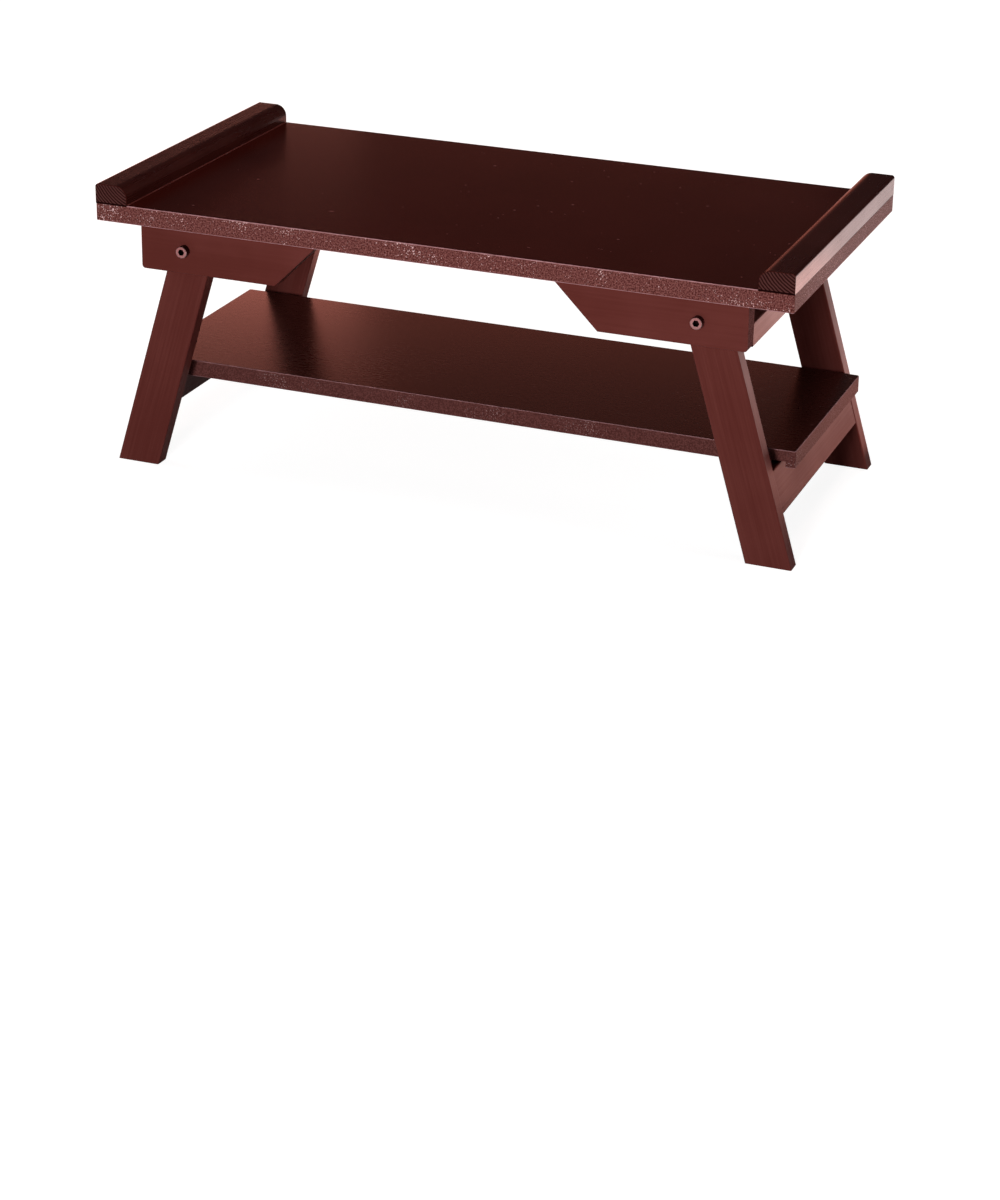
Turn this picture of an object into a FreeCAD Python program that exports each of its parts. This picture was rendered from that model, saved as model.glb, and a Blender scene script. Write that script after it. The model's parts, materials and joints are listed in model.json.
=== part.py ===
"""Folding low table with raised end strips, splayed folding legs and a lift-out shelf.

Frame: millimetres, +X along the table, -Y the front, +Z up. The origin is on the floor under
the middle of the table. The table stands open, with the shelf lying on the two crossbars.
"""
import FreeCAD, Part
import os
from math import cos, sin, sqrt, tan, radians

V = FreeCAD.Vector
X_AXIS, Y_AXIS, Z_AXIS = V(1, 0, 0), V(0, 1, 0), V(0, 0, 1)
ORIGIN = V(0, 0, 0)

# Top board and the end strips that stand on it
TABLE_LENGTH = 600.0
TABLE_DEPTH = 300.0
TOP_HEIGHT = 237.0              # floor to the working surface
TOP_THICKNESS = 15.5
BOARD_CORNER_RADIUS = 2.0       # in plan, of the top and the shelf
STRIP_WIDTH = 29.0
STRIP_HEIGHT = 16.0             # above the working surface
STRIP_SEAT_DEPTH = 0.5          # the strips are let into the top by this much
STRIP_INNER_RADIUS = 10.0       # long rounded edge that faces the work
STRIP_OUTER_RADIUS = 2.5

# Side brackets (aprons) under the top, one for each leg
BRACKET_END_INSET = 37.5
BRACKET_SIDE_INSET = 8.0
BRACKET_THICKNESS = 15.0
BRACKET_HEIGHT = 39.0
BRACKET_LENGTH = 161.5          # along the underside, before the 45 degree cut
BRACKET_CORNER_RADIUS = 3.0

# End rails between the brackets; the gap above each one is the storage slot of the shelf
RAIL_THICKNESS = 15.0
RAIL_HEIGHT = 19.5

# Legs
LEG_WIDTH = 36.8
LEG_THICKNESS = 14.6
LEG_SPLAY = 16.4                # degrees from vertical when the table stands
LEG_FOLD = 90.0 + LEG_SPLAY     # degrees from standing to flat under the top
PIVOT_DROP = 19.0               # bolt axis below the underside of the top
LEG_STOP_GAP = 0.1              # leg to the rail edge that stops it

# Crossbars, measured along the leg from the bolt axis
CROSSBAR_START = 137.0
CROSSBAR_WIDTH = 36.6
CROSSBAR_THICKNESS = 15.5
CROSSBAR_INSET = 0.4            # behind the outer narrow face of the leg

# Loose shelf, lying a little off centre on the crossbars
SHELF_LENGTH = 578.4
SHELF_DEPTH = 194.6
SHELF_THICKNESS = 14.5
SHELF_OFFSET_X = 2.2
SHELF_OFFSET_Y = 4.5
SHELF_UNDERSIDE = 73.4          # above the floor
GROOVE_WIDTH = 15.0
GROOVE_DEPTH = 5.0
GROOVE_END_MARGIN = 7.7         # end of the shelf to the groove

# Pivot hardware: socket head bolt, spacer ring, flat washer and hexagon nut
BOLT_RADIUS = 3.0
BOLT_LENGTH = 41.0              # under the head
BOLT_HEAD_RADIUS = 5.0
BOLT_HEAD_HEIGHT = 6.0
BOLT_HEAD_EASE = 0.5
BOLT_TIP_CHAMFER = 0.6
SOCKET_ACROSS_FLATS = 5.0
SOCKET_DEPTH = 3.0
SPACER_RADIUS = 8.0
SPACER_THICKNESS = 2.5
WASHER_RADIUS = 9.0
WASHER_THICKNESS = 1.6
NUT_ACROSS_FLATS = 10.0
NUT_HEIGHT = 5.0
NUT_CONE = 30.0                 # degrees, of its turned corners
SIDE_PLAY = 0.1                 # each side of the leg
PIVOT_PLAY = 0.08               # bolt shank to the hole in the leg
FIXED_HOLE_PLAY = 0.04          # bolt shank to the holes that don't turn

# Hidden beech dowels
DOWEL_RADIUS = 3.0
DOWEL_HOLE_RADIUS = 3.04
DOWEL_END_GAP = 0.5
BRACKET_DOWEL_LENGTH = 30.0
BRACKET_DOWEL_IN_TOP = 10.0
BRACKET_DOWEL_INSETS = (14.0, 96.0)     # from the outer end of the bracket
RAIL_DOWEL_LENGTH = 30.0
RAIL_DOWEL_IN_BRACKET = 9.0
CROSSBAR_DOWEL_LENGTH = 30.0
CROSSBAR_DOWEL_IN_LEG = 9.0
CROSSBAR_DOWEL_SPACING = 18.0
STRIP_DOWEL_LENGTH = 18.0
STRIP_DOWEL_IN_TOP = 9.0
STRIP_DOWEL_SPACING = 110.0

EASE = 0.8                      # rounding of the cut edges of the boards
LEG_EASE = 1.2                  # rounding of the long edges of the legs
NEAR = 0.01                     # lengths below this count as nothing when edges are picked

# Worked out from the sizes above
UNDERSIDE = TOP_HEIGHT - TOP_THICKNESS
PIVOT_HEIGHT = UNDERSIDE - PIVOT_DROP
BRACKET_OUTER_X = TABLE_LENGTH / 2 - BRACKET_END_INSET
BRACKET_OUTER_Y = TABLE_DEPTH / 2 - BRACKET_SIDE_INSET
BRACKET_INNER_Y = BRACKET_OUTER_Y - BRACKET_THICKNESS
BRACKET_BOTTOM = UNDERSIDE - BRACKET_HEIGHT
RAIL_INNER_X = BRACKET_OUTER_X - RAIL_THICKNESS
LEG_OUTER_Y = BRACKET_INNER_Y - SPACER_THICKNESS - SIDE_PLAY
LEG_INNER_Y = LEG_OUTER_Y - LEG_THICKNESS
SPLAY_SIN, SPLAY_COS = sin(radians(LEG_SPLAY)), cos(radians(LEG_SPLAY))
HALF_LEG = LEG_WIDTH / 2
STRIP_SEAT = TOP_HEIGHT - STRIP_SEAT_DEPTH
STRIP_INNER_X = TABLE_LENGTH / 2 - STRIP_WIDTH
WASHER_SEAT = -LEG_INNER_Y + SIDE_PLAY
RAIL_DOWEL_X = (RAIL_INNER_X + BRACKET_OUTER_X) / 2
RAIL_DOWEL_Z = BRACKET_BOTTOM + RAIL_HEIGHT / 2

# The leg leans outward until its outer face bears on the lower inner edge of the end rail.
STOP_REACH = (HALF_LEG + (PIVOT_HEIGHT - BRACKET_BOTTOM) * SPLAY_SIN + LEG_STOP_GAP) / SPLAY_COS
PIVOT_X = RAIL_INNER_X - STOP_REACH


def box(x_range, y_range, z_range):
    (x0, x1), (y0, y1), (z0, z1) = x_range, y_range, z_range
    return Part.makeBox(x1 - x0, y1 - y0, z1 - z0, V(x0, y0, z0))


def rod(radius, length, start, direction):
    return Part.makeCylinder(radius, length, start, direction)


def eased(shape, radius, wanted):
    """Round the edges for which wanted(edge's bounding box) is true."""
    edges = [edge for edge in shape.Edges if wanted(edge.BoundBox)]
    return shape.makeFillet(radius, edges)


def extruded(outline, y0, y1):
    """Outline is a closed wire in the plane y = 0."""
    solid = Part.Face(outline).extrude(V(0, y1 - y0, 0))
    solid.translate(V(0, y0, 0))
    return solid


def pivot_hole(play):
    """Bore of the right front corner for the bolt, from the front to the middle of the table."""
    return rod(BOLT_RADIUS + play, TABLE_DEPTH / 2, V(PIVOT_X, -TABLE_DEPTH / 2, PIVOT_HEIGHT), Y_AXIS)


def mirrored(shape, side_x, side_y):
    """A part of the right front corner, moved to the corner with these signs of x and y."""
    result = shape.copy()
    if side_x < 0:
        result = result.mirror(ORIGIN, X_AXIS)
    if side_y > 0:
        result = result.mirror(ORIGIN, Y_AXIS)
    return result


def on_leg(along, across, y=0.0):
    """Point of the right leg pair: along the leg from the bolt, and across it to the outside."""
    x = PIVOT_X + along * SPLAY_SIN + across * SPLAY_COS
    z = PIVOT_HEIGHT - along * SPLAY_COS + across * SPLAY_SIN
    return V(x, y, z)


def leg_length(across):
    """Distance along the leg from the bolt to the floor."""
    return (PIVOT_HEIGHT + across * SPLAY_SIN) / SPLAY_COS


# Top board and strips

def board(length, depth, z0, z1, centre=(0.0, 0.0)):
    cx, cy = centre
    solid = box((cx - length / 2, cx + length / 2), (cy - depth / 2, cy + depth / 2), (z0, z1))
    solid = eased(solid, BOARD_CORNER_RADIUS, lambda b: b.ZLength > NEAR)
    return eased(solid, EASE, lambda b: b.ZLength < NEAR)


def bracket_dowel_places():
    """Centres of the bracket dowels of the right front corner, in plan."""
    y = -(BRACKET_OUTER_Y + BRACKET_INNER_Y) / 2
    return [(BRACKET_OUTER_X - inset, y) for inset in BRACKET_DOWEL_INSETS]


def strip_dowel_places():
    """Centres of the dowels of the right strip, in plan."""
    x = TABLE_LENGTH / 2 - STRIP_WIDTH / 2
    return [(x, row * STRIP_DOWEL_SPACING) for row in (-1, 0, 1)]


def dowel_hole(start, direction, depth):
    return rod(DOWEL_HOLE_RADIUS, depth + DOWEL_END_GAP, start, direction)


def top_board():
    solid = board(TABLE_LENGTH, TABLE_DEPTH, UNDERSIDE, TOP_HEIGHT)
    for side_x in (-1, 1):
        solid = solid.cut(box(sorted((side_x * STRIP_INNER_X, side_x * TABLE_LENGTH)),
                              (-TABLE_DEPTH, TABLE_DEPTH), (STRIP_SEAT, TOP_HEIGHT + STRIP_HEIGHT)))
        for x, y in strip_dowel_places():
            solid = solid.cut(dowel_hole(V(side_x * x, y, STRIP_SEAT), -Z_AXIS, STRIP_DOWEL_IN_TOP))
        for side_y in (-1, 1):
            for x, y in bracket_dowel_places():
                start = V(side_x * x, -side_y * y, UNDERSIDE)
                solid = solid.cut(dowel_hole(start, Z_AXIS, BRACKET_DOWEL_IN_TOP))
    return solid


def end_strip():
    x0, x1 = STRIP_INNER_X, TABLE_LENGTH / 2
    top = TOP_HEIGHT + STRIP_HEIGHT
    solid = box((x0, x1), (-TABLE_DEPTH / 2, TABLE_DEPTH / 2), (STRIP_SEAT, top))
    for x, radius in ((x0, STRIP_INNER_RADIUS), (x1, STRIP_OUTER_RADIUS)):
        solid = eased(solid, radius, lambda b: b.YLength > NEAR and b.ZMin > top - NEAR
                      and abs(b.Center.x - x) < NEAR)
    solid = eased(solid, EASE, lambda b: b.YLength < NEAR and b.ZMax > STRIP_SEAT + NEAR)
    for x, y in strip_dowel_places():
        depth = STRIP_DOWEL_LENGTH - STRIP_DOWEL_IN_TOP
        solid = solid.cut(dowel_hole(V(x, y, STRIP_SEAT), Z_AXIS, depth))
    return solid


# Brackets and end rails

def bracket():
    inner_top = BRACKET_OUTER_X - BRACKET_LENGTH
    inner_bottom = inner_top + BRACKET_HEIGHT
    corners = [V(BRACKET_OUTER_X, 0, UNDERSIDE), V(BRACKET_OUTER_X, 0, BRACKET_BOTTOM),
               V(inner_bottom, 0, BRACKET_BOTTOM), V(inner_top, 0, UNDERSIDE)]
    solid = extruded(Part.makePolygon(corners + corners[:1]), -BRACKET_OUTER_Y, -BRACKET_INNER_Y)
    solid = eased(solid, BRACKET_CORNER_RADIUS, lambda b: b.YLength > NEAR
                  and b.XMin > BRACKET_OUTER_X - NEAR and b.ZMax < BRACKET_BOTTOM + NEAR)
    solid = eased(solid, EASE, lambda b: b.YLength < NEAR and b.YMin < -BRACKET_INNER_Y - NEAR
                  and b.ZMin < UNDERSIDE - NEAR)
    solid = solid.cut(pivot_hole(FIXED_HOLE_PLAY))
    for x, y in bracket_dowel_places():
        depth = BRACKET_DOWEL_LENGTH - BRACKET_DOWEL_IN_TOP
        solid = solid.cut(dowel_hole(V(x, y, UNDERSIDE), -Z_AXIS, depth))
    start = V(RAIL_DOWEL_X, -BRACKET_INNER_Y, RAIL_DOWEL_Z)
    return solid.cut(dowel_hole(start, -Y_AXIS, RAIL_DOWEL_IN_BRACKET))


def end_rail():
    solid = box((RAIL_INNER_X, BRACKET_OUTER_X), (-BRACKET_INNER_Y, BRACKET_INNER_Y),
                (BRACKET_BOTTOM, BRACKET_BOTTOM + RAIL_HEIGHT))
    solid = eased(solid, EASE, lambda b: b.YLength > NEAR and b.XMin > BRACKET_OUTER_X - NEAR)
    for side_y in (-1, 1):
        depth = RAIL_DOWEL_LENGTH - RAIL_DOWEL_IN_BRACKET
        start = V(RAIL_DOWEL_X, side_y * BRACKET_INNER_Y, RAIL_DOWEL_Z)
        solid = solid.cut(dowel_hole(start, V(0, -side_y, 0), depth))
    return solid


# Legs and crossbars

def crossbar_dowel_places():
    """Centres of the dowels of one crossbar end, along and across the leg."""
    middle = CROSSBAR_START + CROSSBAR_WIDTH / 2
    across = HALF_LEG - CROSSBAR_INSET - CROSSBAR_THICKNESS / 2
    return [(middle + side * CROSSBAR_DOWEL_SPACING / 2, across) for side in (-1, 1)]


def leg():
    """Front right leg: round about the bolt at the top, cut level at the foot."""
    top_outer, top_inner = on_leg(0, HALF_LEG), on_leg(0, -HALF_LEG)
    foot_outer = on_leg(leg_length(HALF_LEG), HALF_LEG)
    foot_inner = on_leg(leg_length(-HALF_LEG), -HALF_LEG)
    outline = Part.Wire([Part.makeLine(foot_inner, top_inner),
                         Part.Arc(top_inner, on_leg(-HALF_LEG, 0), top_outer).toShape(),
                         Part.makeLine(top_outer, foot_outer),
                         Part.makeLine(foot_outer, foot_inner)])
    solid = extruded(outline, -LEG_OUTER_Y, -LEG_INNER_Y)
    solid = eased(solid, LEG_EASE, lambda b: b.YLength < NEAR and b.ZMax > NEAR)
    solid = solid.cut(pivot_hole(PIVOT_PLAY))
    for along, across in crossbar_dowel_places():
        start = on_leg(along, across, -LEG_INNER_Y)
        solid = solid.cut(dowel_hole(start, -Y_AXIS, CROSSBAR_DOWEL_IN_LEG))
    return solid


def crossbar():
    outer = HALF_LEG - CROSSBAR_INSET
    inner = outer - CROSSBAR_THICKNESS
    end = CROSSBAR_START + CROSSBAR_WIDTH
    corners = [on_leg(CROSSBAR_START, inner), on_leg(CROSSBAR_START, outer),
               on_leg(end, outer), on_leg(end, inner)]
    solid = extruded(Part.makePolygon(corners + corners[:1]), -LEG_INNER_Y, LEG_INNER_Y)
    solid = eased(solid, EASE, lambda b: b.YLength > NEAR)
    for side_y in (-1, 1):
        for along, across in crossbar_dowel_places():
            depth = CROSSBAR_DOWEL_LENGTH - CROSSBAR_DOWEL_IN_LEG
            start = on_leg(along, across, side_y * LEG_INNER_Y)
            solid = solid.cut(dowel_hole(start, V(0, -side_y, 0), depth))
    return solid


# Shelf

def shelf():
    """Loose board with a groove near each end, which drops over the top edge of a crossbar."""
    solid = board(SHELF_LENGTH, SHELF_DEPTH, SHELF_UNDERSIDE, SHELF_UNDERSIDE + SHELF_THICKNESS,
                  (SHELF_OFFSET_X, SHELF_OFFSET_Y))
    for side_x in (-1, 1):
        outer = SHELF_OFFSET_X + side_x * (SHELF_LENGTH / 2 - GROOVE_END_MARGIN)
        inner = outer - side_x * GROOVE_WIDTH
        solid = solid.cut(box(sorted((outer, inner)), (-TABLE_DEPTH / 2, TABLE_DEPTH / 2),
                              (0.0, SHELF_UNDERSIDE + GROOVE_DEPTH)))
    return solid


# Pivot hardware of the right front corner

def hexagonal_prism(across_flats, height, y0):
    radius = across_flats / sqrt(3)
    centre = V(PIVOT_X, 0, PIVOT_HEIGHT)
    corners = [centre + V(cos(radians(angle)), 0, sin(radians(angle))) * radius
               for angle in range(0, 361, 60)]
    return extruded(Part.makePolygon(corners), y0, y0 + height)


def ring(radius, thickness, y0):
    disc = rod(radius, thickness, V(PIVOT_X, y0, PIVOT_HEIGHT), Y_AXIS)
    return disc.cut(pivot_hole(FIXED_HOLE_PLAY))


def pivot_bolt():
    seat = -BRACKET_OUTER_Y
    crown = seat - BOLT_HEAD_HEIGHT
    head = rod(BOLT_HEAD_RADIUS, BOLT_HEAD_HEIGHT, V(PIVOT_X, crown, PIVOT_HEIGHT), Y_AXIS)
    head = eased(head, BOLT_HEAD_EASE, lambda b: b.YMax < crown + NEAR)
    head = head.cut(hexagonal_prism(SOCKET_ACROSS_FLATS, SOCKET_DEPTH, crown))
    shank = rod(BOLT_RADIUS, BOLT_LENGTH, V(PIVOT_X, seat, PIVOT_HEIGHT), Y_AXIS)
    tip = [edge for edge in shank.Edges if edge.BoundBox.YMin > seat + BOLT_LENGTH - NEAR]
    return head.fuse(shank.makeChamfer(BOLT_TIP_CHAMFER, tip)).removeSplitter()


def leg_spacer():
    return ring(SPACER_RADIUS, SPACER_THICKNESS, -BRACKET_INNER_Y)


def leg_washer():
    return ring(WASHER_RADIUS, WASHER_THICKNESS, WASHER_SEAT)


def pivot_nut():
    """Hexagon with the corners of its outer face turned down to a cone."""
    y0 = WASHER_SEAT + WASHER_THICKNESS
    prism = hexagonal_prism(NUT_ACROSS_FLATS, NUT_HEIGHT, y0)
    crown_radius = NUT_ACROSS_FLATS / 2
    base_radius = crown_radius + NUT_HEIGHT / tan(radians(NUT_CONE))
    cone = Part.makeCone(base_radius, crown_radius, NUT_HEIGHT, V(PIVOT_X, y0, PIVOT_HEIGHT), Y_AXIS)
    return prism.common(cone).cut(pivot_hole(FIXED_HOLE_PLAY))


# Dowels

def strip_dowels():
    z0 = STRIP_SEAT - STRIP_DOWEL_IN_TOP
    return [rod(DOWEL_RADIUS, STRIP_DOWEL_LENGTH, V(side_x * x, y, z0), Z_AXIS)
            for side_x in (-1, 1) for x, y in strip_dowel_places()]


def bracket_dowels():
    z0 = UNDERSIDE + BRACKET_DOWEL_IN_TOP - BRACKET_DOWEL_LENGTH
    return [rod(DOWEL_RADIUS, BRACKET_DOWEL_LENGTH, V(side_x * x, side_y * y, z0), Z_AXIS)
            for side_x in (-1, 1) for side_y in (-1, 1) for x, y in bracket_dowel_places()]


def rail_dowels():
    y0 = -BRACKET_INNER_Y - RAIL_DOWEL_IN_BRACKET
    dowel = rod(DOWEL_RADIUS, RAIL_DOWEL_LENGTH, V(RAIL_DOWEL_X, y0, RAIL_DOWEL_Z), Y_AXIS)
    return [mirrored(dowel, side_x, side_y) for side_x in (-1, 1) for side_y in (-1, 1)]


def crossbar_dowels(side_x):
    y0 = -LEG_INNER_Y - CROSSBAR_DOWEL_IN_LEG
    dowels = [rod(DOWEL_RADIUS, CROSSBAR_DOWEL_LENGTH, on_leg(along, across, y0), Y_AXIS)
              for along, across in crossbar_dowel_places()]
    return [mirrored(dowel, side_x, side_y) for side_y in (-1, 1) for dowel in dowels]


def all_parts():
    """Node name to shape."""
    parts = {"top_board": top_board(), "shelf": shelf(),
             "strip_dowels": Part.makeCompound(strip_dowels()),
             "bracket_dowels": Part.makeCompound(bracket_dowels()),
             "rail_dowels": Part.makeCompound(rail_dowels())}
    end_parts = {"end_strip": end_strip(), "end_rail": end_rail(), "crossbar": crossbar()}
    corner_parts = {"bracket": bracket(), "leg": leg(), "pivot_bolt": pivot_bolt(),
                    "leg_spacer": leg_spacer(), "leg_washer": leg_washer(), "pivot_nut": pivot_nut()}
    for side, side_x in (("left", -1), ("right", 1)):
        for name, shape in end_parts.items():
            parts[f"{side}_{name}"] = mirrored(shape, side_x, -1)
        parts[f"{side}_crossbar_dowels"] = Part.makeCompound(crossbar_dowels(side_x))
        for face, side_y in (("front", -1), ("back", 1)):
            for name, shape in corner_parts.items():
                parts[f"{face}_{side}_{name}"] = mirrored(shape, side_x, side_y)
    return parts


os.makedirs("parts", exist_ok=True)
for node, shape in all_parts().items():
    shape.exportStep(f"parts/{node}.step")
print(f"fold {LEG_FOLD:.2f} degrees about x = {PIVOT_X:.3f}, z = {PIVOT_HEIGHT:.3f} mm")
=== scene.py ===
"""Looks of the folding low table: lacquer over laminate, fibreboard and solid wood, with steel pivots.

Everything is in metres in the frame of the part: +X along the table, -Y its front, +Z up, the
origin on the floor under the middle.
"""
import json
import math

import bmesh
import bpy
from mathutils import Matrix, Vector


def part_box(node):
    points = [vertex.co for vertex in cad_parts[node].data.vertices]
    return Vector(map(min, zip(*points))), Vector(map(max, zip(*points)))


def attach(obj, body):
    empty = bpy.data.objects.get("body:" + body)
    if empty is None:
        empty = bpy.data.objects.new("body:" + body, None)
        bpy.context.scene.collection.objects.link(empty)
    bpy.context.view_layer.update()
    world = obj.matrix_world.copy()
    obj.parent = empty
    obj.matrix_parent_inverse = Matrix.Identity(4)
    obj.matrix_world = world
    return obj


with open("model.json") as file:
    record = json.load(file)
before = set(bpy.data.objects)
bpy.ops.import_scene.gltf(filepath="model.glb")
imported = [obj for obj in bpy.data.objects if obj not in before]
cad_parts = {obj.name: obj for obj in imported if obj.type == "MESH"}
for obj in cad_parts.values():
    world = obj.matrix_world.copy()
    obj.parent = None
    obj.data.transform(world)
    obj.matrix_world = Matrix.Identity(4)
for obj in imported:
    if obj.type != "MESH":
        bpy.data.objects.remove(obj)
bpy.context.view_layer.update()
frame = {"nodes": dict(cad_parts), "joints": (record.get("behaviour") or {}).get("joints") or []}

MM = 0.001
NODES = frame["nodes"]
PIVOTS = {joint["name"]: Vector(joint["pos_m"]) for joint in frame["joints"] if "pos_m" in joint}
TOP_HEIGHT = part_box("top_board")[1].z
STRIP_INNER_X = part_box("right_end_strip")[0].x
BOLT_CROWN = max(abs(corner.y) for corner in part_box("back_right_pivot_bolt"))
SOCKET_DEPTH = 3.0 * MM
SOCKET_RADIUS = 2.9 * MM        # over the corners of the hexagon
SPLAY = math.radians(16.4)      # legs from vertical when the table stands

# Camera: where it looks, from which side, and how far away
TARGET = Vector((0.00292, -0.0061, 0.1175))
AZIMUTH, ELEVATION, ROLL = (math.radians(angle) for angle in (21.68, 19.08, 0.75))
DISTANCE = 2.3572
LENS = 83.27
SENSOR = 36.0
SHIFT = (0.0016, -0.2207)
CLIP = (0.05, 60.0)


def rgb(*values):
    return tuple(values) + (1.0,)


# Linear colours of the lacquer over each stock, from the darkest tone to the lightest
FACE = rgb(0.038, 0.0042, 0.0026), rgb(0.054, 0.0074, 0.0050)
SHELF = rgb(0.024, 0.0053, 0.0041), rgb(0.030, 0.0068, 0.0052)
BOARD = rgb(0.089, 0.0190, 0.0152), rgb(0.116, 0.0285, 0.0242)
EDGE = rgb(0.060, 0.0140, 0.0115), rgb(0.275, 0.0960, 0.0880)
WOOD = rgb(0.085, 0.0182, 0.0150), rgb(0.111, 0.0280, 0.0235)
STRIP = rgb(0.026, 0.0042, 0.0032), rgb(0.044, 0.0082, 0.0062)
FLECK = rgb(0.95, 0.64, 0.64)
WORN = rgb(0.26, 0.125, 0.120)
# Pale line on the arrises: partly wear of the lacquer, partly a painted highlight
ARRIS = rgb(0.50, 0.27, 0.29)
# Painted shade for the seam between each end strip and the board
SEAM_SHADE = rgb(0.008, 0.0015, 0.0012)

# Linear colours of the fittings
STEEL = rgb(0.34, 0.16, 0.16), rgb(0.46, 0.25, 0.25)
# Painted shade for the sides of the fittings
STEEL_SIDE_SHADE = rgb(0.045, 0.018, 0.018)
# Painted highlight for the rounded rims of the fittings
STEEL_RIM_HIGHLIGHT = rgb(0.80, 0.58, 0.58)
# Painted shade for the inside of the hexagon recess in each bolt head
SOCKET_SHADE = rgb(0.010, 0.004, 0.004)
NYLON = rgb(0.018, 0.016, 0.016), rgb(0.035, 0.030, 0.030)
BEECH = rgb(0.50, 0.33, 0.19), rgb(0.68, 0.50, 0.31)

# Gloss
WHITE = (1.0, 1.0, 1.0, 1.0)
LACQUER_TINT = (1.0, 0.30, 0.25, 1.0)   # of the lacquer's gloss, seen square on
EDGE_IOR = 1.24                         # of the thin lacquer on the cut edges of boards
EDGE_ROUGHNESS = (0.66, 0.46)           # between the fibres and on them
END_IOR, END_ROUGHNESS = 1.06, 0.70     # of end grain, which soaks the lacquer up
STEEL_IOR, STEEL_ROUGHNESS = 2.0, (0.20, 0.34)
FITTING_IOR = 1.5
NYLON_ROUGHNESS = (0.45, 0.6)
BEECH_ROUGHNESS = (0.7, 0.55)

# Textures: how many features to the metre
FIBRES, CLUSTERS, FLECKS = 800.0, 26.0, 950.0       # cut fibreboard
STREAKS, CLOUDS, DUST, WEAR_AND_HIGHLIGHT = 150.0, 9.0, 260.0, 120.0       # laminated faces and their edges
LINES, BANDS, WOOD_CLOUDS, PORES, RINGS = 560.0, 110.0, 14.0, 1100.0, 135.0     # solid wood
TURNING, STAINS = 5200.0, 160.0         # steel
NYLON_SKIN, BEECH_LINES = 900.0, 900.0

# Textures: squeeze of the features along each axis
STREAK_SQUEEZE = (1.0, 9.0, 9.0)
GRAIN_SQUEEZE = 0.02                    # along the grain
BEECH_SQUEEZE = (1.0, 0.1, 1.0)
SECTION = (1.0, 0.0, 1.0)               # keeps X and Z only

# Textures: from where to where a noise or a face's slope takes effect
NOISE_RANGE = (0.3, 0.7)
FACE_TONES, WOOD_TONES = (0.36, 0.64), (0.34, 0.66)
CLUSTER_RANGE, DUST_RANGE, WEAR_AND_HIGHLIGHT_RANGE = (0.42, 0.66), (0.865, 0.88), (0.30, 0.62)
STAIN_RANGE, STEEL_SHEEN_RANGE = (0.35, 0.7), (0.8, 1.25)
BROAD_SLOPE, END_SLOPE = (0.93, 0.985), (0.80, 0.93)    # 1 is square on
ARRIS_RISE, ARRIS_FALL = (0.12, 0.4), (0.97, 0.8)
STEEL_SIDE_SLOPE = (0.05, 0.35)
STEEL_RIM_RISE, STEEL_RIM_FALL = (0.3, 0.6), (0.99, 0.9)

# Textures: depth of the relief
EDGE_RELIEF, WOOD_RELIEF, STEEL_RELIEF = 0.25 * MM, 0.16 * MM, 0.03 * MM
NYLON_RELIEF, BEECH_RELIEF = 0.05 * MM, 0.1 * MM
FACE_RELIEF_SHARE = 0.004               # of a laminated face, as a share of the relief of its edges
LINE_RELIEF_SHARE = 0.5                 # of grain lines, as a share of the relief of end grain


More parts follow.
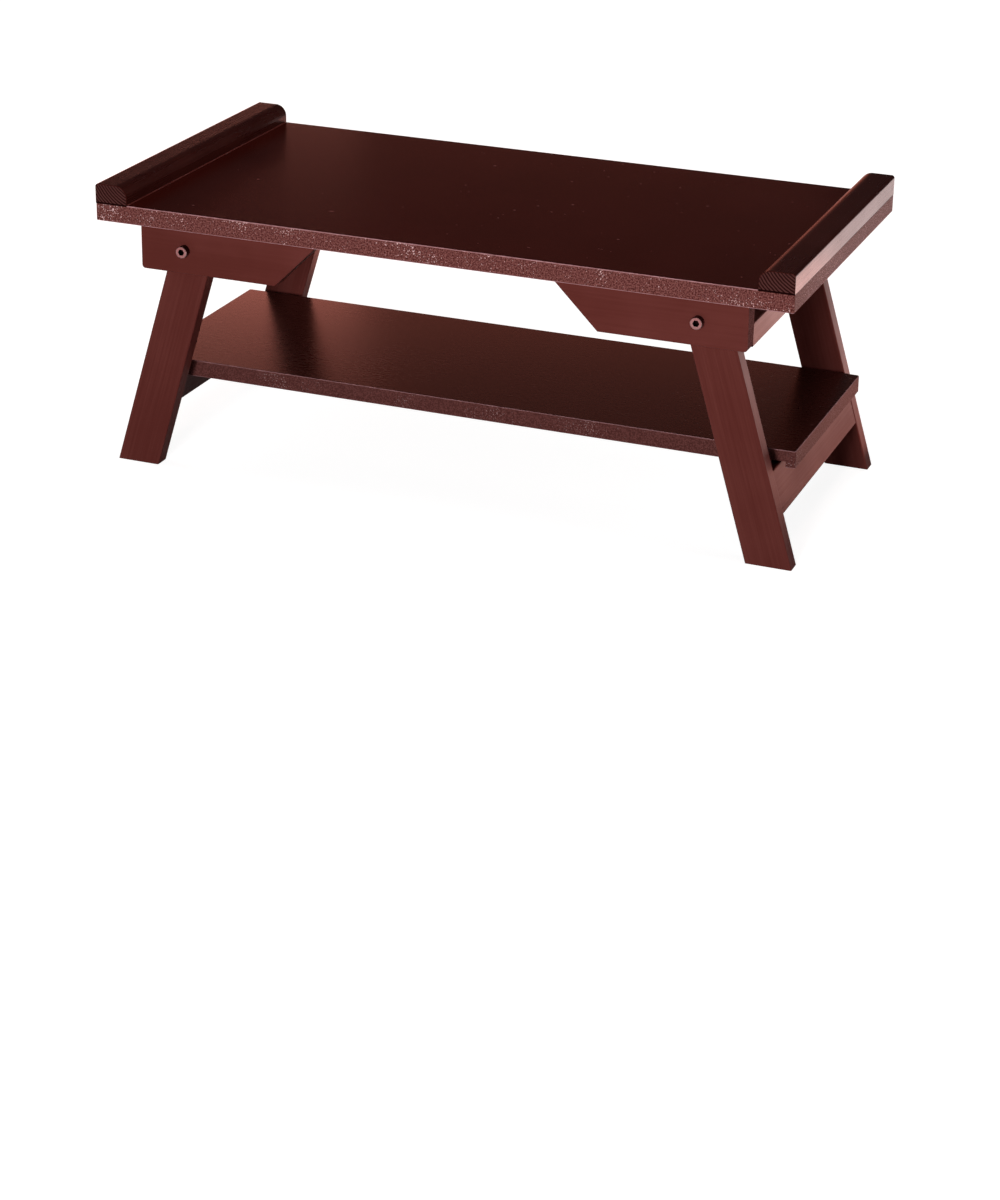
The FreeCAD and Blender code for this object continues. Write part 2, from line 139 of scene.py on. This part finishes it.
class Graph:
    """Node tree of one material, built from the texture coordinates towards the shader."""

    def __init__(self, name):
        self.material = bpy.data.materials.new(name)
        self.material.use_nodes = True
        self.tree = self.material.node_tree
        self.tree.nodes.clear()
        place = self.node("ShaderNodeTexCoord")
        self.point, self.normal = place.outputs["Object"], place.outputs["Normal"]

    def node(self, kind, inputs=None, **settings):
        node = self.tree.nodes.new(kind)
        for key, value in settings.items():
            setattr(node, key, value)
        for key, value in (inputs or {}).items():
            if isinstance(value, bpy.types.NodeSocket):
                self.tree.links.new(value, node.inputs[key])
            else:
                node.inputs[key].default_value = value
        return node

    def math(self, operation, *values):
        return self.node("ShaderNodeMath", dict(enumerate(values)), operation=operation).outputs[0]

    def times(self, first, second):
        return self.math("MULTIPLY", first, second)

    def size(self, value):
        return self.math("ABSOLUTE", value)

    def vector(self, operation, output, *values):
        sockets = (0, "Scale") if operation == "SCALE" else (0, 1)
        node = self.node("ShaderNodeVectorMath", dict(zip(sockets, values)), operation=operation)
        return node.outputs[output]

    def axis(self, vector, name):
        return self.node("ShaderNodeSeparateXYZ", {0: vector}).outputs[name]

    def squeezed(self, point, factors):
        return self.vector("MULTIPLY", "Vector", point, factors)

    def section(self, point, pivot):
        """X and Z of the point from the pivot."""
        return self.squeezed(self.vector("SUBTRACT", "Vector", point, pivot), SECTION)

    def turned(self, vector, centre, angle):
        inputs = {"Vector": vector, "Center": centre, "Angle": angle}
        return self.node("ShaderNodeVectorRotate", inputs, rotation_type="Y_AXIS").outputs[0]

    def ramp(self, value, low, high, to_low=0.0, to_high=1.0):
        """Smooth step from to_low at low to to_high at high."""
        inputs = {"Value": value, "From Min": low, "From Max": high, "To Min": to_low, "To Max": to_high}
        return self.node("ShaderNodeMapRange", inputs, interpolation_type="SMOOTHSTEP").outputs[0]

    def noise(self, point, scale, detail=2.0, roughness=0.5, distortion=0.0):
        inputs = {"Vector": point, "Scale": scale, "Detail": detail, "Roughness": roughness,
                  "Distortion": distortion}
        return self.node("ShaderNodeTexNoise", inputs).outputs[0]

    def rings(self, point):
        inputs = {"Vector": point, "Scale": RINGS, "Distortion": 1.4, "Detail": 2.0, "Detail Scale": 1.5}
        wave = self.node("ShaderNodeTexWave", inputs, wave_type="RINGS", rings_direction="Y")
        return wave.outputs["Fac"]

    def mix(self, share, first, second):
        """Colour that is first where share is 0 and second where it is 1."""
        return self.node("ShaderNodeMix", {0: share, 6: first, 7: second}, data_type="RGBA").outputs[2]

    def blend(self, share, first, second):
        """Number that is first where share is 0 and second where it is 1."""
        return self.node("ShaderNodeMix", {0: share, 2: first, 3: second}).outputs[0]

    def bump(self, height, depth):
        return self.node("ShaderNodeBump", {"Height": height, "Distance": depth}).outputs[0]

    def finish(self, colour, roughness, normal, ior, metallic=0.0, tint=WHITE):
        inputs = {"Base Color": colour, "Roughness": roughness, "Normal": normal, "IOR": ior,
                  "Metallic": metallic, "Specular Tint": tint}
        shader = self.node("ShaderNodeBsdfPrincipled", inputs)
        self.node("ShaderNodeOutputMaterial", {"Surface": shader.outputs[0]})
        return self.material


def fibreboard(graph, shade, coarse):
    """Colour, roughness and height of a cut fibreboard edge under lacquer that takes shade of its light.

    Coarse board is 1, and finer board shows less of its fibres.
    """
    middle, spread, contrast = 0.51, 0.13 * coarse, 0.5 * coarse
    mottle = graph.noise(graph.point, FIBRES, 3.0, 0.7)
    tone = graph.ramp(mottle, middle - spread, middle + spread, 0.5 - contrast, 0.5 + contrast)
    colour = graph.mix(tone, *EDGE)
    clusters = graph.ramp(graph.noise(graph.point, CLUSTERS, 2.0, 0.6), *CLUSTER_RANGE)
    grains = graph.noise(graph.point, FLECKS, 1.0, 0.5)
    limit = graph.math("MULTIPLY_ADD", clusters, -0.115, 0.745)
    flecks = graph.ramp(graph.math("SUBTRACT", grains, limit), 0.0, 0.035)
    colour = graph.mix(graph.times(flecks, coarse), colour, FLECK)
    colour = graph.vector("SCALE", "Vector", colour, shade)
    return colour, graph.ramp(mottle, *NOISE_RANGE, *EDGE_ROUGHNESS), mottle


def board_material(name, tones, sheen, ior, edge_shade, coarse):
    """Laminated fibreboard that lies flat; its faces that look sideways are cut edges."""
    graph = Graph(name)
    edge_colour, edge_roughness, edge_height = fibreboard(graph, edge_shade, coarse)
    level = graph.size(graph.axis(graph.normal, "Z"))
    broad = graph.ramp(level, *BROAD_SLOPE)

    fine = graph.noise(graph.squeezed(graph.point, STREAK_SQUEEZE), STREAKS, 4.0, 0.65)
    cloud = graph.noise(graph.point, CLOUDS, 2.0, 0.5)
    tone = graph.math("MULTIPLY_ADD", cloud, 0.45, graph.times(fine, 0.55))
    face_colour = graph.mix(graph.ramp(tone, *FACE_TONES), *tones)
    dust = graph.ramp(graph.noise(graph.point, DUST, 0.0), *DUST_RANGE)
    face_colour = graph.mix(graph.times(dust, 0.5), face_colour, WORN)
    face_roughness = graph.ramp(tone, *NOISE_RANGE, *sheen)

    # Pale line along each arris, partly wear of the lacquer and partly a painted highlight, and a painted
    # shade in the seam under each end strip
    arris = graph.times(graph.ramp(level, *ARRIS_RISE), graph.ramp(level, *ARRIS_FALL))
    wear_and_highlight = graph.ramp(graph.noise(graph.point, WEAR_AND_HIGHLIGHT, 3.0, 0.7), *WEAR_AND_HIGHLIGHT_RANGE, 0.55 * coarse, coarse)
    colour = graph.mix(broad, edge_colour, face_colour)
    colour = graph.mix(graph.times(arris, wear_and_highlight), colour, ARRIS)
    # Painted shade in the seam between the board's top and each end strip
    under_strip = graph.ramp(graph.size(graph.axis(graph.point, "X")), STRIP_INNER_X - 0.5 * MM,
                             STRIP_INNER_X + 0.5 * MM)
    at_top = graph.ramp(graph.axis(graph.point, "Z"), TOP_HEIGHT - 1.2 * MM, TOP_HEIGHT - 0.7 * MM)
    colour = graph.mix(graph.times(under_strip, at_top), colour, SEAM_SHADE)

    roughness = graph.blend(broad, edge_roughness, face_roughness)
    height = graph.blend(broad, edge_height, graph.times(fine, FACE_RELIEF_SHARE))
    index = graph.blend(broad, EDGE_IOR, ior)
    return graph.finish(colour, roughness, graph.bump(height, EDGE_RELIEF), index, tint=LACQUER_TINT)


def wood_material(name, length, tones, sheen, ior, grain, end_shade, pivot=(0.0, 0.0, 0.0), tilt=0.0,
                  rings=False):
    """Solid wood with its grain along the axis called length, after turning by tilt about the pivot.

    With rings, the pivot is the heart of the tree, and the lower edge of the piece gets a painted shade along
    its seam.
    """
    graph = Graph(name)
    point = graph.turned(graph.point, pivot, tilt)
    normal = graph.turned(graph.normal, (0.0, 0.0, 0.0), tilt)
    grain_point = graph.squeezed(point, [GRAIN_SQUEEZE if axis == length else 1.0 for axis in "XYZ"])
    lines = graph.noise(grain_point, LINES, 2.0, 0.5, 0.1)
    bands = graph.noise(grain_point, BANDS, 2.0, 0.5, 0.2)
    cloud = graph.noise(point, WOOD_CLOUDS, 2.0, 0.5)
    band_share = 0.16
    tone = graph.math("MULTIPLY_ADD", lines, grain, graph.times(bands, band_share))
    tone = graph.math("MULTIPLY_ADD", cloud, 1.0 - band_share - grain, tone)
    colour = graph.mix(graph.ramp(tone, *WOOD_TONES), *tones)

    ends = graph.ramp(graph.size(graph.axis(normal, length)), *END_SLOPE)
    end_tone = graph.noise(point, PORES, 2.0, 0.6)
    if rings:
        wave = graph.rings(graph.section(point, pivot))
        end_tone = graph.math("MULTIPLY_ADD", end_tone, 0.35, graph.times(wave, 0.65))
    end_colour = graph.mix(graph.ramp(end_tone, *NOISE_RANGE), *EDGE)
    colour = graph.mix(ends, colour, graph.vector("SCALE", "Vector", end_colour, end_shade))
    # Painted shade in the seam along the lower edge of an end strip
    if rings:
        foot_shade = graph.ramp(graph.axis(point, "Z"), TOP_HEIGHT + 0.9 * MM, TOP_HEIGHT + 0.4 * MM)
        colour = graph.mix(foot_shade, colour, SEAM_SHADE)

    side_roughness = graph.ramp(tone, *NOISE_RANGE, sheen + 0.05, sheen - 0.04)
    roughness = graph.blend(ends, side_roughness, END_ROUGHNESS)
    height = graph.blend(ends, graph.times(lines, LINE_RELIEF_SHARE), end_tone)
    index = graph.blend(ends, ior, END_IOR)
    return graph.finish(colour, roughness, graph.bump(height, WOOD_RELIEF), index, tint=LACQUER_TINT)


def steel_material(name, pivot):
    """Turned and plated steel with fine rings about the bolt axis, painted shade round its sides, a painted
    highlight on its rims, and painted black shade down in the hexagon recess of a bolt."""
    graph = Graph(name)
    radius = graph.vector("LENGTH", "Value", graph.section(graph.point, pivot))
    turned = graph.noise(graph.node("ShaderNodeCombineXYZ", {0: radius}).outputs[0], TURNING, 2.0)
    stain = graph.noise(graph.point, STAINS, 2.0, 0.5)
    colour = graph.mix(graph.ramp(stain, *STAIN_RANGE), *STEEL)
    # Painted shade round the sides, where the faces turn away from the bolt axis
    facing = graph.size(graph.axis(graph.normal, "Y"))
    colour = graph.mix(graph.ramp(facing, *STEEL_SIDE_SLOPE), STEEL_SIDE_SHADE, colour)
    # Painted highlight on the rounded rims
    rim_highlight = graph.times(graph.ramp(facing, *STEEL_RIM_RISE), graph.ramp(facing, *STEEL_RIM_FALL))
    colour = graph.mix(rim_highlight, colour, STEEL_RIM_HIGHLIGHT)

    # Painted black shade down in the hexagon recess of a bolt head
    depth = graph.size(graph.axis(graph.point, "Y"))
    floor_depth = BOLT_CROWN - SOCKET_DEPTH
    sunk = graph.times(graph.ramp(depth, BOLT_CROWN - 0.1 * MM, BOLT_CROWN - 0.5 * MM),
                       graph.ramp(depth, floor_depth - 0.6 * MM, floor_depth - 0.2 * MM))
    socket_shade = graph.times(sunk, graph.ramp(radius, SOCKET_RADIUS + 0.12 * MM, SOCKET_RADIUS))
    colour = graph.mix(socket_shade, colour, SOCKET_SHADE)
    roughness = graph.ramp(graph.math("ADD", turned, stain), *STEEL_SHEEN_RANGE, *STEEL_ROUGHNESS)
    return graph.finish(colour, roughness, graph.bump(turned, STEEL_RELIEF), STEEL_IOR, metallic=1.0)


def nylon_material():
    graph = Graph("nylon")
    skin = graph.noise(graph.point, NYLON_SKIN, 3.0, 0.6)
    roughness = graph.ramp(skin, *NOISE_RANGE, *NYLON_ROUGHNESS)
    return graph.finish(graph.mix(skin, *NYLON), roughness, graph.bump(skin, NYLON_RELIEF), FITTING_IOR)


def beech_material():
    graph = Graph("dowel_beech")
    lines = graph.noise(graph.squeezed(graph.point, BEECH_SQUEEZE), BEECH_LINES, 3.0, 0.6)
    roughness = graph.ramp(lines, *NOISE_RANGE, *BEECH_ROUGHNESS)
    return graph.finish(graph.mix(lines, *BEECH), roughness, graph.bump(lines, BEECH_RELIEF), FITTING_IOR)


def paint(node, material):
    """The CAD piece keeps its shape and takes this material in every slot."""
    for slot in NODES[node].material_slots:
        slot.material = material


# Materials that several pieces share, by the end of the name of the piece
SHARED = {
    "top_board": board_material("laminate", FACE, sheen=(0.27, 0.22), ior=1.20, edge_shade=0.86, coarse=1.0),
    "shelf": board_material("shelf_board", SHELF, sheen=(0.28, 0.27), ior=1.47, edge_shade=0.53, coarse=0.45),
    "bracket": wood_material("bracket_wood", "X", BOARD, sheen=0.42, ior=1.3, grain=0.22, end_shade=0.80),
    "end_rail": wood_material("rail_wood", "Y", BOARD, sheen=0.40, ior=1.35, grain=0.35, end_shade=0.22),
    "spacer": nylon_material(),
    "dowels": beech_material(),
}
for node in NODES:
    for ending, material in SHARED.items():
        if node.endswith(ending):
            paint(node, material)

# Materials that follow the pivot or the heartwood of one end of the table
HEART_OUT, HEART_UP = 0.030, 0.022      # heart of the tree from the middle of the strip's upper face
for side, sign in (("left", -1), ("right", 1)):
    pivot = PIVOTS[f"{side}_leg_fold"]
    low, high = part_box(f"{side}_end_strip")
    heart = ((low.x + high.x) / 2 + HEART_OUT, 0.0, high.z + HEART_UP)
    paint(f"{side}_end_strip",
          wood_material(f"{side}_strip_wood", "Y", STRIP, sheen=0.25, ior=1.27, grain=0.25, end_shade=0.29,
                        pivot=heart, rings=True))
    paint(f"{side}_crossbar",
          wood_material(f"{side}_crossbar_wood", "Y", WOOD, sheen=0.42, ior=1.3, grain=0.35, end_shade=0.5,
                        pivot=pivot))
    for face in ("front", "back"):
        paint(f"{face}_{side}_leg",
              wood_material(f"{face}_{side}_leg_wood", "Z", WOOD, sheen=0.42, ior=1.36, grain=0.38,
                            end_shade=0.5, pivot=pivot, tilt=sign * SPLAY))
        for part in ("pivot_bolt", "leg_washer", "pivot_nut"):
            node = f"{face}_{side}_{part}"
            paint(node, steel_material(f"{node}_steel", pivot))


# Bead of lacquer in the inner corner between each end strip and the board
BEAD_SIZE = 0.7 * MM
BEAD_STEPS = 5
BEAD_END_GAP = 1.5 * MM


def bead_profile():
    """Corner, board side, hollow curve and strip side of the bead, as distances across and up."""
    profile = [(0.0, 0.0), (BEAD_SIZE, 0.0)]
    for step in range(1, BEAD_STEPS):
        angle = math.pi / 2 * step / BEAD_STEPS
        profile.append((BEAD_SIZE * (1 - math.sin(angle)), BEAD_SIZE * (1 - math.cos(angle))))
    return profile + [(0.0, BEAD_SIZE)]


def lacquer_bead(side, sign):
    low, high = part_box(f"{side}_end_strip")
    corner_x = high.x if sign < 0 else low.x
    mesh = bmesh.new()
    rows = [[mesh.verts.new((corner_x - sign * across, y, TOP_HEIGHT + up)) for across, up in bead_profile()]
            for y in (low.y + BEAD_END_GAP, high.y - BEAD_END_GAP)]
    near, far = rows
    for index in range(len(near)):
        following = (index + 1) % len(near)
        mesh.faces.new((near[index], near[following], far[following], far[index]))
    for row in rows:
        mesh.faces.new(row)
    bmesh.ops.recalc_face_normals(mesh, faces=mesh.faces)
    data = bpy.data.meshes.new(f"{side}_strip_bead")
    mesh.to_mesh(data)
    mesh.free()
    data.materials.append(NODES[f"{side}_crossbar"].material_slots[0].material)
    bead = bpy.data.objects.new(f"{side}_strip_bead", data)
    bpy.context.scene.collection.objects.link(bead)
    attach(bead, "root")


lacquer_bead("left", -1)
lacquer_bead("right", 1)


# Studio: a soft low box in front and weak fills round the table light it, and aren't reflected. Six
# panels are only reflected: two stand at the back left, for the broad faces and the left of the shelf;
# three lie on the floor behind the table, for the faces that look right; and one lies in front, for the
# bolt heads. A wide sun lights the arrises, and the floor and the sky are pale and even.
FLOOR_REACH = 60.0
FLOOR_DROP = 0.0002             # keeps the floor just under the feet
FLOOR_TONE = 0.38
FLOOR_ROUGHNESS = 0.9
FLOOR_GLOW = 0.88               # lifts the soft shadows on the paper
SKY_LEVEL, SKY_GLOW = 0.03, 0.95
PANEL_HEIGHT = 0.01             # of the panels that lie on the floor
HEART_OF_TABLE = (0.0, 0.0, 0.12)
SUN_POWER, SUN_ANGLE, SUN_COLOUR = 0.7, math.radians(26), (1.0, 0.72, 0.66)


def seen_directly(tree):
    """1 where the camera sees a surface itself, and 0 where it lights or is reflected by another."""
    return tree.nodes.new("ShaderNodeLightPath").outputs["Is Camera Ray"]


def floor():
    mesh = bpy.data.meshes.new("floor")
    corners = [(x * FLOOR_REACH, y * FLOOR_REACH, 0) for x, y in ((-1, -1), (1, -1), (1, 1), (-1, 1))]
    mesh.from_pydata(corners, [], [(0, 1, 2, 3)])
    obj = bpy.data.objects.new("floor", mesh)
    bpy.context.scene.collection.objects.link(obj)
    obj.location.z = -FLOOR_DROP
    material = bpy.data.materials.new("floor_paper")
    material.use_nodes = True
    tree = material.node_tree
    shader = tree.nodes["Principled BSDF"]
    shader.inputs["Base Color"].default_value = rgb(FLOOR_TONE, FLOOR_TONE, FLOOR_TONE)
    shader.inputs["Roughness"].default_value = FLOOR_ROUGHNESS
    shader.inputs["Emission Color"].default_value = WHITE
    glow = tree.nodes.new("ShaderNodeMath")
    glow.operation, glow.inputs[1].default_value = "MULTIPLY", FLOOR_GLOW
    tree.links.new(seen_directly(tree), glow.inputs[0])
    tree.links.new(glow.outputs[0], shader.inputs["Emission Strength"])
    mesh.materials.append(material)


def sky():
    """Even dim light from all round, which the camera sees as a pale backdrop."""
    world = bpy.data.worlds.new("studio")
    bpy.context.scene.world = world
    world.use_nodes = True
    tree = world.node_tree
    background = tree.nodes["Background"]
    background.inputs[0].default_value = WHITE
    level = tree.nodes.new("ShaderNodeMath")
    level.operation = "MULTIPLY_ADD"
    level.inputs[1].default_value, level.inputs[2].default_value = SKY_GLOW, SKY_LEVEL
    tree.links.new(seen_directly(tree), level.inputs[0])
    tree.links.new(level.outputs[0], background.inputs[1])


def area_light(name, centre, aim, size, power, colour, gloss):
    """Soft rectangle that is only reflected when it is a gloss light, and only lights when it isn't."""
    data = bpy.data.lights.new(name, "AREA")
    data.shape, (data.size, data.size_y) = "RECTANGLE", size
    data.energy, data.color = power, colour
    obj = bpy.data.objects.new(name, data)
    bpy.context.scene.collection.objects.link(obj)
    obj.location = centre
    obj.rotation_mode = "QUATERNION"
    obj.rotation_quaternion = (Vector(aim) - Vector(centre)).to_track_quat("-Z", "Y")
    obj.visible_camera, obj.visible_glossy, obj.visible_diffuse = False, gloss, not gloss


def fill(name, centre, size, power):
    area_light(name, centre, HEART_OF_TABLE, size, power, WHITE[:3], gloss=False)


def panel(name, centre, aim, size, power, colour):
    area_light(name, centre, aim, size, power, colour, gloss=True)


def floor_panel(name, x, y, size, power, colour):
    panel(name, (x, y, PANEL_HEIGHT), (x, y, 1.0), size, power, colour)


def overhead():
    """Wide warm sun that picks out the arrises."""
    data = bpy.data.lights.new("overhead", "SUN")
    data.energy, data.angle, data.color = SUN_POWER, SUN_ANGLE, SUN_COLOUR
    bpy.context.scene.collection.objects.link(bpy.data.objects.new("overhead", data))


def studio():
    floor()
    fill("front_box", (0.22, -2.4, 0.60), (0.5, 0.7), 47.0)
    fill("right_fill", (2.3, -0.1, 0.5), (0.8, 0.5), 15.0)
    fill("back_fill", (0.3, 2.4, 0.8), (1.4, 0.9), 18.0)
    fill("left_fill", (-2.3, 0.1, 0.8), (1.2, 0.9), 16.0)
    panel("back_panel", (-0.72, 0.88, 0.20), (-0.50, 0.0, 0.15), (1.5, 0.38), 1.25, (1.0, 0.25, 0.16))
    panel("back_left_panel", (-0.74, 0.76, 0.19), (-0.20, 0.0, 0.10), (0.48, 0.32), 1.0, (1.0, 0.36, 0.28))
    floor_panel("far_floor_panel", 0.76, 0.86, (0.9, 0.9), 5.4, (1.0, 0.78, 0.76))
    floor_panel("near_floor_panel", 0.46, 0.34, (0.3, 0.6), 1.05, (1.0, 0.40, 0.32))
    floor_panel("middle_floor_panel", 0.0, 0.60, (0.5, 0.56), 2.6, (1.0, 0.36, 0.28))
    floor_panel("front_floor_panel", -0.2, -0.78, (1.0, 0.6), 1.7, (1.0, 0.80, 0.78))
    overhead()
    sky()


def camera():
    back = Vector((math.sin(AZIMUTH) * math.cos(ELEVATION), -math.cos(AZIMUTH) * math.cos(ELEVATION),
                   math.sin(ELEVATION)))
    level = Vector((math.cos(AZIMUTH), math.sin(AZIMUTH), 0.0))
    upward = back.cross(level)
    right = math.cos(ROLL) * level + math.sin(ROLL) * upward
    up = back.cross(right)
    data = bpy.data.cameras.new("camera")
    data.lens, data.sensor_width, (data.shift_x, data.shift_y) = LENS, SENSOR, SHIFT
    data.clip_start, data.clip_end = CLIP
    obj = bpy.data.objects.new("camera", data)
    obj.matrix_world = (Matrix.Translation(TARGET + DISTANCE * back)
                        @ Matrix((right, up, back)).transposed().to_4x4())
    bpy.context.scene.collection.objects.link(obj)
    bpy.context.scene.camera = obj


studio()
camera()
bpy.context.scene.view_settings.view_transform = "Standard"
